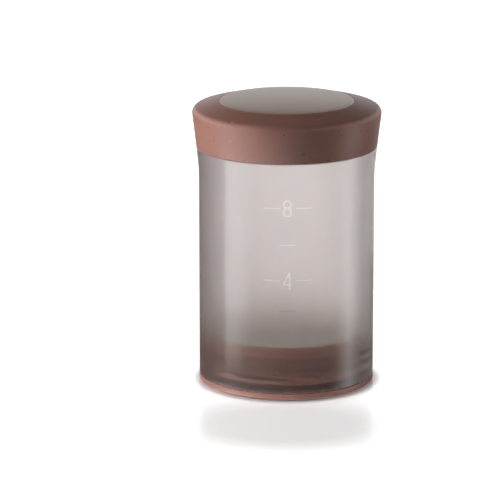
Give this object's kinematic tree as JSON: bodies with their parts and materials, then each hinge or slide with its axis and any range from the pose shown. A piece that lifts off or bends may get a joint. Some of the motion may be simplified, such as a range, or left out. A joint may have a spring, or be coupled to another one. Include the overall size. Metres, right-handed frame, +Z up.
{
  "type": "portable coffee maker",
  "caption": "Portable coffee maker: a frosted, graduated chamber with a screw lid, and a screw-in base whose foot dial opens a drain valve under the filter.",
  "frame": {"origin": "centre of the foot pad's underside, on the table", "axes": "+Z up along the maker's axis, -Y towards the graduation marks, +X to the right of someone who reads them"},
  "size_m": [0.0794, 0.0794, 0.1211],
  "materials": {
    "mauve_plastic": "fine-textured, speckled",
    "frosted_plastic": "frosted, translucent",
    "taupe_plastic": "satin",
    "natural_plastic": "satin",
    "dark_rubber": "matte silicone",
    "stainless_steel": "satin"
  },
  "bodies": {
    "foot": {"foot_dial": "mauve_plastic", "foot_pad": "dark_rubber", "valve_seal": "dark_rubber"},
    "base": {"base_housing": "mauve_plastic", "valve_pivot": "stainless_steel", "pivot_seal": "dark_rubber", "valve_spring": "stainless_steel", "pivot_washer": "stainless_steel", "pivot_clip": "stainless_steel"},
    "filter": {"filter_frame": "natural_plastic", "filter_mesh": "stainless_steel", "filter_clamp": "natural_plastic", "filter_gasket": "dark_rubber"},
    "base_ring": {"base_gasket": "dark_rubber"},
    "chamber": {"brew_chamber": "frosted_plastic"},
    "lid_ring": {"lid_gasket": "dark_rubber"},
    "lid": {"lid_shell": "mauve_plastic", "lid_disc": "taupe_plastic", "lid_liner": "natural_plastic", "vent_valve": "dark_rubber"}
  },
  "joints": [
    {"name": "valve_turn", "type": "hinge", "parent": "foot", "child": "base", "pos_m": [0, 0, 0], "axis": [0, 0, 1], "range_deg": [-60, 0]},
    {"name": "filter_lift", "type": "slide", "parent": "base", "child": "filter", "axis": [0, 0, 1], "range_m": [0, 0.04]},
    {"name": "chamber_turn", "type": "hinge", "parent": "base", "child": "base_ring", "pos_m": [0, 0, 0], "axis": [0, 0, 1], "range_deg": [0, 900]},
    {"name": "chamber_rise", "type": "slide", "parent": "base_ring", "child": "chamber", "axis": [0, 0, 1], "range_m": [0, 0.02001]},
    {"name": "lid_rise", "type": "slide", "parent": "chamber", "child": "lid_ring", "axis": [0, 0, 1], "range_m": [0, 0.01334]},
    {"name": "lid_turn", "type": "hinge", "parent": "lid_ring", "child": "lid", "pos_m": [0, 0, 0], "axis": [0, 0, 1], "range_deg": [0, 600]}
  ],
  "couplings": [
    {"joint": "chamber_rise", "follows": "chamber_turn", "m_per_rad": 0.0012732},
    {"joint": "lid_rise", "follows": "lid_turn", "m_per_rad": 0.0012732}
  ]
}
